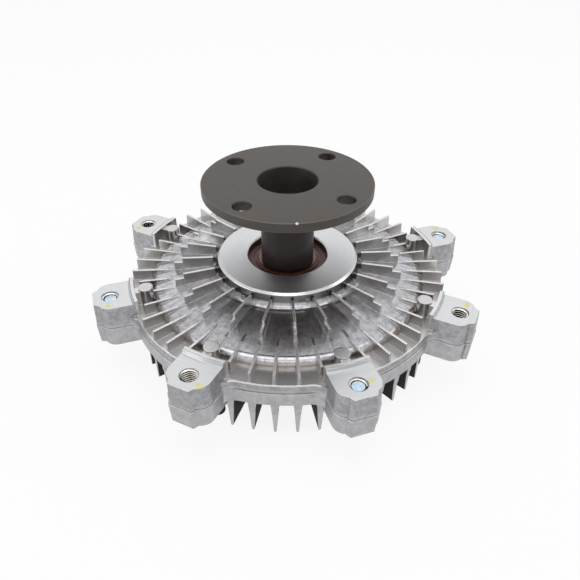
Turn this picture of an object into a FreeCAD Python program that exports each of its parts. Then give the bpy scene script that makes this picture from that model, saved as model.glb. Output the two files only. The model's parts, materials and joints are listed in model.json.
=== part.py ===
import FreeCAD, Part
import math
import os

V = FreeCAD.Vector

# Viscous fan clutch. Z is the shaft axis, and z = 0 is the plane of the front cover's fin tips,
# on which the clutch stands with its input flange upwards.

# Heights of the stack
front_fin_len = 22.3
front_rim_h = 7.6
rear_rim_h = 5.3
pad_rise = 7.1
hub_rise = 7.4
flange_rise = 43.1
rim_low_z = front_fin_len
parting_z = rim_low_z + front_rim_h
ledge_z = parting_z + rear_rim_h
pad_z = ledge_z + pad_rise
hub_top_z = pad_z + hub_rise
flange_top_z = hub_top_z + flange_rise

# Ears round the rim
ear_count = 8
ear_pitch = 360.0 / ear_count
ear_start_deg = -116.05
ear_circle_r = 95.0
ear_half_w = 10.7
ear_corner_r = 6.2
ear_end_out = 8.4
ear_land_half = 5.2
ear_neck_half = 6.6
ear_root_len = 6.8
ear_spread = 0.45
ear_step = 0.35
ear_foot_inset = 0.3
ear_drop = 3.2
ear_web_r = 8.0
ear_end_r = ear_circle_r + ear_end_out
ear_bottom_z = rim_low_z - ear_drop

# Threaded holes of the ears
screw_r = 4.0
screw_fit = 0.05
hole_mouth_r = 4.4
hole_clear_r = 4.3

# Ridge that the fan ring centres on, and the ejector post behind it
ridge_in_r = 82.7
ridge_top_r = 84.9
ridge_foot_r = 85.5
ridge_rise = 1.8
post_circle_r = 77.0
post_r = 3.75
post_rise = 1.7
post_web_half = 2.3
post_web_drop = 1.2

# Rear cover outside
rim_r = 84.8
rim_edge = 0.6
parting_edge = 0.3
ledge_in_r = 74.0
shoulder_r = 70.2
shoulder_rise = 4.0
shoulder_mid_r = 73.0
shoulder_mid_rise = 2.9
dome_mid_r = 57.0
dome_mid_rise = 6.0
dome_in_r = 43.5
dome_in_rise = 7.3
hub_r = 37.8
hub_chamfer = 1.15
hub_foot_r = 38.9
hub_foot_rise = 10.0
hub_fillet_r = 40.2
hub_fillet_rise = 8.1
small_mark_r = 1.2
small_mark_deg = -74.6
small_mark_rise = 10.9
large_mark_r = 2.2
large_mark_deg = -123.0
large_mark_rise = 10.9
large_mark_circle_r = 38.4

# Rear cover fins
fin_top_half = 0.62
fin_draft = 0.055
fin_high_r = 57.0
fin_high_rise = 5.7
fin_step_len = 4.6
fin_step_rise = 3.0
fin_low_rise = -1.5
fin_out_r = 84.5
fin_ear_cut = 4.5
fin_short_in_r = 56.0
fins_per_ear = 3
fin_step_r = fin_high_r + fin_step_len
fin_ear_out_r = fin_out_r - fin_ear_cut

# Bearing
bearing_r = 26.0
bearing_bore_r = 12.5
bearing_w = 15.0
bearing_inset = 2.7
outer_land_r = 22.6
inner_land_r = 15.9
ball_r = 3.9
ball_gap = 0.3
ball_count = 9
ball_circle_r = (outer_land_r + inner_land_r) / 2.0
cage_half_t = 1.3
cage_half_h = 5.1
cage_gap = 0.15
seal_t = 1.4
seal_inset = 0.3
seal_gap = 0.25
seal_groove_in_r = 17.3
seal_groove_out_r = 18.5
seal_groove_depth = 0.7
seal_step_r = 20.9
seal_step_depth = 0.35
lip_bore_r = 21.6
bearing_top_z = hub_top_z - bearing_inset
bearing_low_z = bearing_top_z - bearing_w
ball_z = bearing_top_z - bearing_w / 2.0

# Ring that keeps the bearing in
snap_t = 1.5
snap_depth = 1.5
snap_in_r = 23.4
snap_gap_deg = 34.0
snap_fit = 0.05
boss_in_r = 33.0
boss_wall = 0.9
boss_end_z = bearing_low_z - snap_t - boss_wall

# Working chamber and its labyrinth
chamber_r = 68.2
chamber_up = 6.1
ridge_h = 4.2
ridge_gap = 0.6
lab_start_r = 38.2
lab_pitch = 6.6
lab_t = 2.6
lab_count = 4
lab_front_first = 2
rotor_gap = 1.2
rotor_web_t = 3.6
rotor_centre_t = 3.4
rotor_drop_r = 36.4
rotor_sleeve_r = 15.8
chamber_top_z = parting_z + chamber_up
rotor_top_z = chamber_top_z - ridge_h - ridge_gap
rotor_low_z = rotor_top_z - rotor_web_t
rotor_centre_top_z = boss_end_z - ridge_gap
rotor_centre_low_z = rotor_centre_top_z - rotor_centre_t
front_floor_z = rotor_low_z - ridge_h - ridge_gap

# Joint between the covers
spigot_r = 70.0
spigot_h = 1.8
spigot_fit = 0.1
oring_r = 0.95
oring_circle_r = 73.4
oring_groove_half = 1.15
oring_groove_depth = 1.95

# Front cover
front_wall = 4.4
front_rib_r = 66.0
front_rim_r = 85.3
front_rim_in_r = 71.0
reservoir_r = 37.5
reservoir_low_z = 12.2
nose_z = 8.0
nose_r = 41.5
nose_foot_r = 47.5
divider_r = 43.5
divider_t = 1.6
divider_fit = 0.15
front_fin_in_r = 35.0
front_fin_short_in_r = 50.0
front_fin_out_r = 82.2
front_fin_turned_cut = 0.3
front_fin_turned_z = 13.4
front_fin_tip_half = 0.62
front_fin_draft = 0.066
front_fin_flare = 0.75
front_fin_flare_h = 5.5
front_post_low_z = 1.5
front_fin_turned_r = front_fin_out_r - front_fin_turned_cut

# Valve
port_circle_r = 32.0
port_r = 3.4
port_deg = 14.0
port_count = 2
plate_screw_count = 4
plate_screw_circle_r = 40.4
plate_screw_r = 1.9
plate_head_r = 3.1
plate_head_h = 1.5
plate_screw_len = 5.0
rod_r = 3.0
rod_fit = 0.05
rod_boss_r = 9.0
rod_boss_up = 4.0
rod_low_z = 0.8
arm_t = 1.2
arm_gap = 0.5
arm_hub_r = 5.6
arm_tip_r = 4.6
rod_seal_r = 0.9
rod_groove_half = 1.1
rod_groove_depth = 2.0
clip_t = 0.8
clip_r = 4.6
clip_groove_r = 2.4
clip_open_half = 1.9
filler_r = 2.5
filler_circle_r = 28.0
filler_deg = 100.0
filler_t = 3.2

# Bimetal coil and its bracket
coil_low_z = 1.0
coil_w = 4.6
coil_t = 0.9
coil_pitch = 2.4
coil_start_r = 5.4
coil_half_turns = 12
coil_leg = 6.0
coil_slot_half = 0.6
bracket_t = 1.2
bracket_half_w = 5.0
bracket_len = 10.0
bracket_fit = 0.15
bracket_screw_r = 2.0
bracket_screw_len = 3.4
bracket_head_r = 3.4
bracket_head_h = 1.6

# Case bolts
bolt_tip_inset = 1.5
bolt_tip_chamfer = 1.05
bolt_head_r = 6.5
bolt_head_h = 5.0
bolt_head_edge = 0.6
bolt_socket_r = 3.46
bolt_socket_depth = 3.0
bolt_well_r = 7.0
bolt_well_gap = 0.2
washer_t = 1.6
washer_r = 6.6
washer_bore_r = 4.25
washer_split_half = 0.5
washer_split_deg = 70.0

# Input shaft
flange_r = 43.2
flange_t = 5.2
flange_edge = 0.5
flange_hole_r = 4.55
flange_hole_edge = 0.4
flange_hole_circle_r = 34.7
flange_hole_count = 4
flange_hole_deg = -126.95
pilot_r = 15.2
pilot_mouth = 0.5
pilot_depth = 15.5
neck_r = 18.6
neck_h = 12.0
neck_taper_h = 5.0
neck_fillet = 2.0
shaft_r = 14.0
shaft_end_gap = 0.7
rotor_ring_t = 1.2
rotor_ring_r = 15.0
rotor_ring_groove_r = 11.6
rotor_ring_gap_deg = 40.0

full_turn = 360.0
over = 1.0


def at(radius, degrees, z):
    angle = math.radians(degrees)
    return V(radius * math.cos(angle), radius * math.sin(angle), z)


def turned(shape, degrees):
    copy = shape.copy()
    copy.rotate(V(0, 0, 0), V(0, 0, 1), degrees)
    return copy


def ring_of(shape, count, start=0.0):
    return [turned(shape, start + full_turn * i / count) for i in range(count)]


def fused(first, others):
    return first.multiFuse(others).removeSplitter()


def rz(radius, z):
    return V(radius, 0, z)


def revolved(edges):
    face = Part.Face(Part.Wire(edges))
    return face.revolve(V(0, 0, 0), V(0, 0, 1), full_turn)


def line(a, b):
    return Part.LineSegment(a, b).toShape()


def arc(a, b, c):
    return Part.Arc(a, b, c).toShape()


def chain(*points):
    return [line(a, b) for a, b in zip(points, points[1:])]


def loop(*points):
    return chain(*points, points[0])


def tube(inner_r, outer_r, low_z, high_z):
    return revolved(loop(rz(inner_r, low_z), rz(outer_r, low_z), rz(outer_r, high_z), rz(inner_r, high_z)))


def rod(radius, low_z, high_z, centre=None):
    base = centre or V(0, 0, 0)
    return Part.makeCylinder(radius, high_z - low_z, V(base.x, base.y, low_z))


def cone(low_r, high_r, low_z, high_z, centre):
    return Part.makeCone(low_r, high_r, high_z - low_z, V(centre.x, centre.y, low_z))


def torus(circle_r, section_r, z):
    return Part.makeTorus(circle_r, section_r, V(0, 0, z))


def bar(in_r, out_r, half_w, low_z, high_z):
    return Part.makeBox(out_r - in_r, 2 * half_w, high_z - low_z, V(in_r, -half_w, low_z))


def open_ring(inner_r, outer_r, low_z, high_z, gap_deg):
    """A snap ring: a flat ring with a gap in it."""
    whole = tube(inner_r, outer_r, low_z, high_z)
    half = math.radians(gap_deg / 2.0)
    reach = outer_r + over
    wedge = Part.Face(Part.Wire(loop(
        V(0, 0, low_z - over),
        V(reach, reach * math.tan(half), low_z - over),
        V(reach, -reach * math.tan(half), low_z - over))))
    return whole.cut(wedge.extrude(V(0, 0, high_z - low_z + 2 * over)))


def fin(in_r, out_r, root_z, top_z, top_half, draft):
    """A cooling fin: thin at its free edge and thicker towards its root, above or below it."""
    root_half = top_half + draft * abs(top_z - root_z)
    profile = loop(
        V(in_r, -root_half, root_z),
        V(in_r, root_half, root_z),
        V(in_r, top_half, top_z),
        V(in_r, -top_half, top_z))
    return Part.Face(Part.Wire(profile)).extrude(V(out_r - in_r, 0, 0))


def ear_wire(z, grow):
    """Plan outline of an ear on the +X side, grown by its draft at this height."""
    side = ear_half_w + grow
    turn_x = ear_half_w - ear_corner_r
    reach = ear_corner_r + grow
    neck = ear_neck_half + grow
    land = ear_land_half + grow
    end = ear_end_r + grow
    bend = math.acos((ear_neck_half - turn_x) / ear_corner_r)
    half = bend / 2.0
    neck_x = turn_x + reach * math.cos(bend)
    neck_r = ear_circle_r + reach * math.sin(bend)
    mid_x = turn_x + reach * math.cos(half)
    mid_r = ear_circle_r + reach * math.sin(half)
    back_r = rim_r - ear_root_len
    edges = chain(V(back_r, -side, z), V(ear_circle_r, -side, z))
    edges.append(arc(V(ear_circle_r, -side, z), V(mid_r, -mid_x, z), V(neck_r, -neck_x, z)))
    edges += chain(
        V(neck_r, -neck_x, z),
        V(neck_r + over / 2, -neck, z),
        V(end, -land, z),
        V(end, land, z),
        V(neck_r, neck_x, z))
    edges.append(arc(V(neck_r, neck_x, z), V(mid_r, mid_x, z), V(ear_circle_r, side, z)))
    edges += chain(V(ear_circle_r, side, z), V(back_r, side, z), V(back_r, -side, z))
    return Part.Wire(edges)


def ear_tower(*levels):
    """An ear through plan outlines, each at a height and grown by an amount."""
    return Part.makeLoft([ear_wire(z, grow) for z, grow in levels], True, True)


def rim_plate(radius, low_z, high_z):
    """The rim's disc with the feet of the ears, webbed into it with round corners,
    and with its edge broken where the two covers meet."""
    disc = rod(radius, low_z, high_z)
    foot = Part.Face(ear_wire(low_z, -ear_foot_inset)).extrude(V(0, 0, high_z - low_z))
    plate = fused(disc, ring_of(foot, ear_count, ear_start_deg))
    corners = []
    for edge in plate.Edges:
        ends = [v.Point for v in edge.Vertexes]
        upright = len(ends) == 2 and math.hypot(ends[0].x - ends[1].x, ends[0].y - ends[1].y) < screw_fit
        if upright and abs(math.hypot(ends[0].x, ends[0].y) - radius) < screw_fit:
            corners.append(edge)
    plate = plate.makeFillet(ear_web_r, corners)
    outline = [e for e in plate.Edges if all(abs(v.Z - parting_z) < screw_fit for v in e.Vertexes)]
    return plate.makeChamfer(parting_edge, outline)


def every_other_ear(shape, first):
    step = 2 * ear_pitch
    return [turned(shape, ear_start_deg + first * ear_pitch + i * step) for i in range(ear_count // 2)]


def labyrinth(start_r, count, low_z, high_z):
    starts = [start_r + i * lab_pitch for i in range(count)]
    return [tube(r, r + lab_t, low_z, high_z) for r in starts]


def rear_fins():
    turn = ear_pitch / (2 * fins_per_ear)
    root_z = ledge_z - over
    high = fin(hub_r - over, fin_high_r, root_z, pad_z + fin_high_rise, fin_top_half, fin_draft)
    step = fin(fin_high_r - over, fin_step_r, root_z, pad_z + fin_step_rise, fin_top_half, fin_draft)
    low_z = pad_z + fin_low_rise
    tail = fin(fin_step_r - over, fin_out_r, root_z, low_z, fin_top_half, fin_draft)
    ear_tail = fin(fin_step_r - over, post_circle_r, root_z, low_z, fin_top_half, fin_draft)
    short = fin(fin_short_in_r, fin_out_r, root_z, low_z, fin_top_half, fin_draft)
    ear_short = fin(fin_short_in_r, fin_ear_out_r, root_z, low_z, fin_top_half, fin_draft)
    inner = fused(high, [step])
    long_fin = fused(inner, [tail])
    ear_fin = fused(inner, [ear_tail])
    group = [ear_fin]
    group += [turned(long_fin, side * 2 * turn) for side in (-1, 1)]
    group += [turned(ear_short, side * turn) for side in (-1, 1)]
    group.append(turned(short, fins_per_ear * turn))
    return [turned(f, ear_start_deg + i * ear_pitch) for i in range(ear_count) for f in group]


def rear_cover():
    hub_foot = rz(hub_foot_r, ledge_z + hub_foot_rise)
    fillet_mid = rz(hub_fillet_r, ledge_z + hub_fillet_rise)
    dome_in = rz(dome_in_r, ledge_z + dome_in_rise)
    dome_mid = rz(dome_mid_r, ledge_z + dome_mid_rise)
    shoulder = rz(shoulder_r, ledge_z + shoulder_rise)
    shoulder_mid = rz(shoulder_mid_r, ledge_z + shoulder_mid_rise)
    ledge_in = rz(ledge_in_r, ledge_z)
    edges = chain(
        rz(0, hub_top_z),
        rz(hub_r - hub_chamfer, hub_top_z),
        rz(hub_r, hub_top_z - hub_chamfer),
        hub_foot)
    edges.append(arc(hub_foot, fillet_mid, dome_in))
    edges.append(arc(dome_in, dome_mid, shoulder))
    edges.append(arc(shoulder, shoulder_mid, ledge_in))
    edges += chain(
        ledge_in,
        rz(rim_r - rim_edge, ledge_z),
        rz(rim_r, ledge_z - rim_edge),
        rz(rim_r, parting_z + parting_edge),
        rz(rim_r - parting_edge, parting_z),
        rz(boss_in_r, parting_z),
        rz(boss_in_r, boss_end_z),
        rz(0, boss_end_z),
        rz(0, hub_top_z))
    body = revolved(edges)

    plate = rim_plate(rim_r, parting_z, ledge_z).cut(rod(ledge_in_r, parting_z - over, ledge_z + over))
    tower = ear_tower(
        (parting_z, ear_spread - parting_edge),
        (parting_z + parting_edge, ear_spread),
        (pad_z, 0.0))
    tower = tower.common(tube(ridge_in_r, ear_end_r + ear_corner_r, parting_z - over, pad_z + over))
    rail = revolved(loop(
        rz(ridge_in_r, ledge_z - over),
        rz(ridge_foot_r, ledge_z - over),
        rz(ridge_foot_r, pad_z),
        rz(ridge_top_r, pad_z + ridge_rise),
        rz(ridge_in_r, pad_z + ridge_rise)))
    rail = rail.common(bar(0, ear_end_r, ear_half_w, ledge_z - over, pad_z + ridge_rise + over))
    post_top = pad_z + post_rise
    post = rod(post_r, ledge_z - over, post_top, V(post_circle_r, 0, 0))
    web = bar(post_circle_r, ridge_in_r + over, post_web_half, ledge_z - over, post_top - post_web_drop)
    ear = fused(tower, [rail, post, web])
    small_mark = Part.makeCylinder(small_mark_r, over, rz(hub_foot_r, ledge_z + small_mark_rise), V(1, 0, 1))
    small_mark.translate(V(-small_mark_r / 2, 0, -small_mark_r / 2))
    large_mark = rod(large_mark_r, ledge_z, ledge_z + large_mark_rise, V(large_mark_circle_r, 0, 0))
    pieces = [plate, turned(small_mark, small_mark_deg), turned(large_mark, large_mark_deg)]
    pieces += ring_of(ear, ear_count, ear_start_deg)
    pieces += rear_fins()
    body = body.multiFuse(pieces)

    hole = rod(screw_r + screw_fit, parting_z - over, pad_z + over, V(ear_circle_r, 0, 0))
    mouth_h = hole_mouth_r - screw_r - screw_fit
    mouth = cone(screw_r + screw_fit, hole_mouth_r, pad_z - mouth_h, pad_z, V(ear_circle_r, 0, 0))
    cuts = ring_of(hole.fuse(mouth), ear_count, ear_start_deg)
    axis = V(0, 0, 0)
    lip_edge = hub_chamfer / 2
    cuts += [
        tube(boss_in_r, chamber_r, parting_z - over, chamber_top_z),
        tube(boss_in_r, spigot_r + spigot_fit, parting_z - over, parting_z + spigot_h + spigot_fit),
        rod(bearing_r, boss_end_z - over, bearing_top_z),
        rod(bearing_r + snap_depth, bearing_low_z - snap_t, bearing_low_z),
        rod(lip_bore_r, bearing_low_z, hub_top_z + over),
        cone(lip_bore_r, lip_bore_r + lip_edge, hub_top_z - lip_edge, hub_top_z, axis)]
    body = body.cut(cuts)
    rings = labyrinth(lab_start_r, lab_count, chamber_top_z - ridge_h, chamber_top_z + over)
    return body.multiFuse(rings).removeSplitter()


def front_fin(in_r, out_r):
    """A fin with a round tip, thicker towards its root and flared where it meets the rim."""
    root_z = rim_low_z + over
    flare_z = rim_low_z - front_fin_flare_h
    tip_z = front_fin_tip_half
    flare_half = front_fin_tip_half + front_fin_draft * flare_z
    root_half = front_fin_tip_half + front_fin_draft * root_z + front_fin_flare
    edges = chain(
        V(in_r, -front_fin_tip_half, tip_z),
        V(in_r, -flare_half, flare_z),
        V(in_r, -root_half, root_z),
        V(in_r, root_half, root_z),
        V(in_r, flare_half, flare_z),
        V(in_r, front_fin_tip_half, tip_z))
    edges.append(arc(V(in_r, front_fin_tip_half, tip_z), V(in_r, 0, 0), V(in_r, -front_fin_tip_half, tip_z)))
    return Part.Face(Part.Wire(edges)).extrude(V(out_r - in_r, 0, 0))


def front_fins():
    turn = ear_pitch / (2 * fins_per_ear)
    skim_top = front_fin_turned_z - front_fin_turned_cut

    def one(in_r, out_r):
        skim = bar(front_fin_turned_r, front_fin_out_r + over, front_fin_out_r, -over, skim_top)
        return front_fin(in_r, out_r).cut(skim)

    long_fin = one(front_fin_in_r, front_fin_out_r)
    short_fin = one(front_fin_short_in_r, front_fin_out_r)
    post = rod(post_r, front_post_low_z, rim_low_z + over, V(post_circle_r, 0, 0))
    ear_fin = fused(front_fin(front_fin_in_r, post_circle_r), [post])
    group = [ear_fin]
    group += [turned(long_fin, side * 2 * turn) for side in (-1, 1)]
    group += [turned(short_fin, side * turn) for side in (-1, 1)]
    group.append(turned(short_fin, fins_per_ear * turn))
    return [turned(f, ear_start_deg + i * ear_pitch) for i in range(ear_count) for f in group]


def front_cover():
    seat_z = front_floor_z - divider_t
    boss_top_z = reservoir_low_z + rod_boss_up
    groove_low = boss_top_z - rod_groove_half * 2 - over
    groove_top = boss_top_z - over
    bore = rod_r + rod_fit
    under_z = front_floor_z - front_wall
    spigot_z = parting_z + spigot_h
    body = revolved(loop(
        rz(0, nose_z),
        rz(nose_r, nose_z),
        rz(nose_foot_r, under_z),
        rz(front_rib_r, under_z),
        rz(front_rim_in_r, rim_low_z),
        rz(front_rim_r - rim_edge, rim_low_z),
        rz(front_rim_r, rim_low_z + rim_edge),
        rz(front_rim_r, parting_z - parting_edge),
        rz(front_rim_r - parting_edge, parting_z),
        rz(spigot_r, parting_z),
        rz(spigot_r, spigot_z),
        rz(0, spigot_z)))
    inside = oring_circle_r + over * 2
    plate = rim_plate(rim_r, rim_low_z, parting_z).cut(rod(inside, rim_low_z - over, parting_z + over))
    wide = ear_spread + ear_step
    foot = ear_tower(
        (ear_bottom_z, ear_step),
        (parting_z - parting_edge, wide),
        (parting_z, wide - parting_edge))
    foot = foot.common(tube(inside + over, ear_end_r + ear_corner_r, ear_bottom_z - over, parting_z + over))
    body = body.multiFuse([plate] + ring_of(foot, ear_count, ear_start_deg) + front_fins())

    ear_hole = V(ear_circle_r, 0, 0)
    clear_hole = rod(hole_clear_r, ear_bottom_z - over, parting_z + over, ear_hole)
    cuts = ring_of(clear_hole, ear_count, ear_start_deg)
    cuts += every_other_ear(rod(bolt_well_r, ear_bottom_z - over, bolt_seat_z(), ear_hole), 1)
    plate_hole = rod(plate_screw_r, seat_z - plate_screw_len, seat_z + over, V(plate_screw_circle_r, 0, 0))
    cuts += ring_of(plate_hole, plate_screw_count)
    groove_in = oring_circle_r - oring_groove_half
    groove_out = oring_circle_r + oring_groove_half
    cuts += [
        tube(groove_in, groove_out, parting_z - oring_groove_depth, parting_z + over),
        rod(chamber_r, front_floor_z, spigot_z + over),
        rod(divider_r + divider_fit, seat_z, front_floor_z + over),
        rod(reservoir_r, boss_top_z, seat_z + over),
        tube(rod_boss_r, reservoir_r, reservoir_low_z, boss_top_z + over),
        rod(bore, nose_z - over, boss_top_z + over),
        rod(bore + rod_groove_depth, groove_low, groove_top),
        rod(filler_r, nose_z - over, reservoir_low_z + over, at(filler_circle_r, filler_deg, 0)),
        rod(bracket_screw_r, nose_z - over, nose_z + bracket_screw_len, bracket_screw_at())]
    first = lab_start_r + lab_front_first * lab_pitch
    rings = labyrinth(first, lab_count - lab_front_first, front_floor_z - over, front_floor_z + ridge_h)
    return body.cut(cuts).multiFuse(rings).removeSplitter()


def input_shaft():
    flange_low = flange_top_z - flange_t
    neck_low = flange_low - neck_h
    taper_low = neck_low - neck_taper_h
    end_z = front_floor_z + shaft_end_gap
    ring_top = rotor_centre_low_z
    ring_low = ring_top - rotor_ring_t
    pilot_z = flange_top_z - pilot_depth
    body = revolved(loop(
        rz(0, end_z),
        rz(bearing_bore_r - flange_edge, end_z),
        rz(bearing_bore_r, end_z + flange_edge),
        rz(bearing_bore_r, ring_low),
        rz(rotor_ring_groove_r, ring_low),
        rz(rotor_ring_groove_r, ring_top),
        rz(bearing_bore_r, ring_top),
        rz(bearing_bore_r, bearing_top_z),
        rz(shaft_r, bearing_top_z),
        rz(shaft_r, taper_low),
        rz(neck_r, neck_low),
        rz(neck_r, flange_low - neck_fillet),
        rz(neck_r + neck_fillet, flange_low),
        rz(flange_r - flange_edge, flange_low),
        rz(flange_r, flange_low + flange_edge),
        rz(flange_r, flange_top_z - flange_edge),
        rz(flange_r - flange_edge, flange_top_z),
        rz(pilot_r + pilot_mouth, flange_top_z),
        rz(pilot_r, flange_top_z - pilot_mouth),
        rz(pilot_r, pilot_z),
        rz(0, pilot_z)))
    place = V(flange_hole_circle_r, 0, 0)
    wide = flange_hole_r + flange_hole_edge
    hole = rod(flange_hole_r, flange_low - over, flange_top_z + over, place)
    top_edge = cone(flange_hole_r, wide, flange_top_z - flange_hole_edge, flange_top_z, place)
    low_edge = cone(wide, flange_hole_r, flange_low, flange_low + flange_hole_edge, place)
    return body.cut(ring_of(fused(hole, [top_edge, low_edge]), flange_hole_count, flange_hole_deg))


def rotor():
    body = revolved(loop(
        rz(bearing_bore_r + screw_fit, rotor_centre_low_z),
        rz(rotor_drop_r, rotor_centre_low_z),
        rz(rotor_drop_r + over, rotor_low_z),
        rz(chamber_r - rotor_gap, rotor_low_z),
        rz(chamber_r - rotor_gap, rotor_top_z),
        rz(boss_in_r + over, rotor_top_z),
        rz(boss_in_r + over, rotor_centre_top_z),
        rz(rotor_sleeve_r, rotor_centre_top_z),
        rz(rotor_sleeve_r, bearing_low_z),
        rz(bearing_bore_r + screw_fit, bearing_low_z)))
    start = lab_start_r + lab_pitch / 2.0
    upper = labyrinth(start, lab_count, rotor_top_z - over, rotor_top_z + ridge_h)
    first = lab_front_first - 1
    lower = labyrinth(start + first * lab_pitch, lab_count - first, rotor_low_z - ridge_h, rotor_low_z + over)
    return fused(body, upper + lower)


def rotor_retaining_ring():
    low = rotor_centre_low_z - rotor_ring_t
    return open_ring(
        rotor_ring_groove_r + snap_fit,
        rotor_ring_r,
        low + snap_fit,
        rotor_centre_low_z,
        rotor_ring_gap_deg)


def bearing_outer_ring():
    ring = tube(outer_land_r, bearing_r, bearing_low_z, bearing_top_z)
    return ring.cut(torus(ball_circle_r, ball_r + ball_gap, ball_z))


def bearing_inner_ring():
    ring = tube(bearing_bore_r, inner_land_r, bearing_low_z, bearing_top_z)
    return ring.cut(torus(ball_circle_r, ball_r + ball_gap, ball_z))


def bearing_balls():
    ball = Part.makeSphere(ball_r, V(ball_circle_r, 0, ball_z))
    return Part.makeCompound(ring_of(ball, ball_count))


def bearing_cage():
    in_r = ball_circle_r - cage_half_t
    ring = tube(in_r, in_r + 2 * cage_half_t, ball_z - cage_half_h, ball_z + cage_half_h)
    start = V(ball_circle_r - ball_r, 0, ball_z)
    pocket = Part.makeCylinder(ball_r + cage_gap, 2 * ball_r, start, V(1, 0, 0))
    return ring.cut(ring_of(pocket, ball_count))


def bearing_seal(side):
    """A seal ring at the bearing's rear (1) or front (-1), with a groove behind its lip and a step."""
    front_z = ball_z + side * (bearing_w / 2.0 - seal_inset)
    back_z = front_z - side * seal_t
    groove_z = front_z - side * seal_groove_depth
    step_z = front_z - side * seal_step_depth
    in_r = inner_land_r + seal_gap
    return revolved(loop(
        rz(in_r, back_z),
        rz(outer_land_r, back_z),
        rz(outer_land_r, front_z),
        rz(seal_step_r, front_z),
        rz(seal_step_r, step_z),
        rz(seal_groove_out_r, step_z),
        rz(seal_groove_out_r, groove_z),
        rz(seal_groove_in_r, groove_z),
        rz(seal_groove_in_r, front_z),
        rz(in_r, front_z)))


def bearing_retaining_ring():
    return open_ring(
        snap_in_r,
        bearing_r + snap_depth - snap_fit,
        bearing_low_z - snap_t + snap_fit,
        bearing_low_z,
        snap_gap_deg)


def cover_seal():
    return torus(oring_circle_r, oring_r, parting_z - oring_groove_depth + oring_r + screw_fit / 2)


def divider_plate():
    low = front_floor_z - divider_t
    high = front_floor_z + over
    plate = rod(divider_r, low, front_floor_z)
    port = rod(port_r, low - over, high, V(port_circle_r, 0, 0))
    cuts = ring_of(port, port_count, port_deg)
    screw_hole = rod(plate_screw_r + screw_fit, low - over, high, V(plate_screw_circle_r, 0, 0))
    return plate.cut(cuts + ring_of(screw_hole, plate_screw_count))


def divider_screws():
    tip_z = front_floor_z - divider_t - plate_screw_len + over
    place = V(plate_screw_circle_r, 0, 0)
    shank = rod(plate_screw_r - screw_fit, tip_z, front_floor_z, place)
    head = rod(plate_head_r, front_floor_z, front_floor_z + plate_head_h, place)
    return Part.makeCompound(ring_of(shank.fuse(head).removeSplitter(), plate_screw_count))


def arm_top_z():
    return front_floor_z - divider_t - arm_gap


def valve_arm():
    top = arm_top_z()
    low = top - arm_t
    hub = rod(arm_hub_r, low, top)
    blade = bar(0, port_circle_r, arm_tip_r, low, top)
    tip = rod(arm_tip_r, low, top, V(port_circle_r, 0, 0))
    both = fused(hub, ring_of(blade.fuse(tip), port_count))
    return turned(both.cut(rod(rod_r + screw_fit, low - over, top + over)), port_deg).removeSplitter()


def bimetal_rod():
    boss_top_z = reservoir_low_z + rod_boss_up
    body = rod(rod_r, rod_low_z, arm_top_z())
    groove_low = boss_top_z + snap_fit
    groove = tube(clip_groove_r, rod_r + over, groove_low, groove_low + clip_t + 2 * snap_fit)
    slot_top = coil_low_z + coil_w + over / 2
    slot = bar(-rod_r - over, rod_r + over, coil_slot_half, rod_low_z - over, slot_top)
    return body.cut([groove, slot])


def rod_clip():
    low = reservoir_low_z + rod_boss_up + 2 * snap_fit
    ring = tube(clip_groove_r + snap_fit, clip_r, low, low + clip_t)
    return ring.cut(bar(0, clip_r + over, clip_open_half, low - over, low + clip_t + over))


def rod_seal():
    bore = rod_r + rod_fit
    groove_mid = reservoir_low_z + rod_boss_up - over - rod_groove_half
    return torus(bore + rod_groove_depth - rod_seal_r - screw_fit, rod_seal_r, groove_mid)


def filler_plug():
    top = reservoir_low_z
    return rod(filler_r, top - filler_t, top, at(filler_circle_r, filler_deg, 0))


def coil_end_r():
    return coil_start_r + coil_half_turns * coil_pitch / 2.0


def coil_edge(shift):
    """Half circles of growing radius about two centres, one side of the strip."""
    edges = []
    x = coil_start_r + shift
    side = 1
    for i in range(coil_half_turns):
        step = coil_pitch / 2.0
        across = 2 * (coil_start_r + i * step) + step + 2 * shift
        far = x - side * across
        mid = (x + far) / 2.0
        edges.append(arc(V(x, 0, 0), V(mid, side * across / 2.0, 0), V(far, 0, 0)))
        x = far
        side = -side
    return edges, V(x, 0, 0)


def bimetal_coil():
    inner, inner_end = coil_edge(-coil_t / 2)
    outer, outer_end = coil_edge(coil_t / 2)
    leg = V(0, coil_leg, 0)
    start_in = V(coil_start_r - coil_t / 2, 0, 0)
    start_out = V(coil_start_r + coil_t / 2, 0, 0)
    tail = chain(inner_end, inner_end + leg, outer_end + leg, outer_end)
    edges = Part.sortEdges(inner + tail + outer + [line(start_out, start_in)])[0]
    strip = Part.Face(Part.Wire(edges)).extrude(V(0, 0, coil_w))
    tongue_half = coil_slot_half - 2 * snap_fit
    tongue = bar(-rod_r, coil_start_r, tongue_half, 0, coil_w)
    strip = fused(strip, [tongue])
    strip.translate(V(0, 0, coil_low_z))
    return strip


def bracket_x():
    """Inner face of the plate that the coil's outer leg lies against."""
    return coil_end_r() + coil_t / 2 + bracket_fit


def bracket_screw_at():
    return V(bracket_x() + bracket_t + bracket_len / 2, bracket_half_w, 0)


def coil_bracket():
    out_x = bracket_x()
    in_x = out_x - coil_t - 2 * bracket_fit - bracket_t
    end_y = coil_leg + bracket_fit
    tall = nose_z - coil_low_z
    wide = 2 * bracket_half_w - over
    hook = bracket_half_w / 2
    outer = Part.makeBox(bracket_t, wide, tall, V(out_x, over, coil_low_z))
    end = Part.makeBox(out_x + bracket_t - in_x, bracket_t, tall, V(in_x, end_y, coil_low_z))
    inner = Part.makeBox(bracket_t, hook + bracket_t, tall, V(in_x, end_y - hook, coil_low_z))
    foot = Part.makeBox(bracket_len + bracket_t, wide, bracket_t, V(out_x, over, nose_z - bracket_t))
    body = fused(outer, [end, inner, foot])
    hole_r = bracket_screw_r + screw_fit
    return body.cut(rod(hole_r, nose_z - 2 * bracket_t, nose_z + over, bracket_screw_at()))


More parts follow.
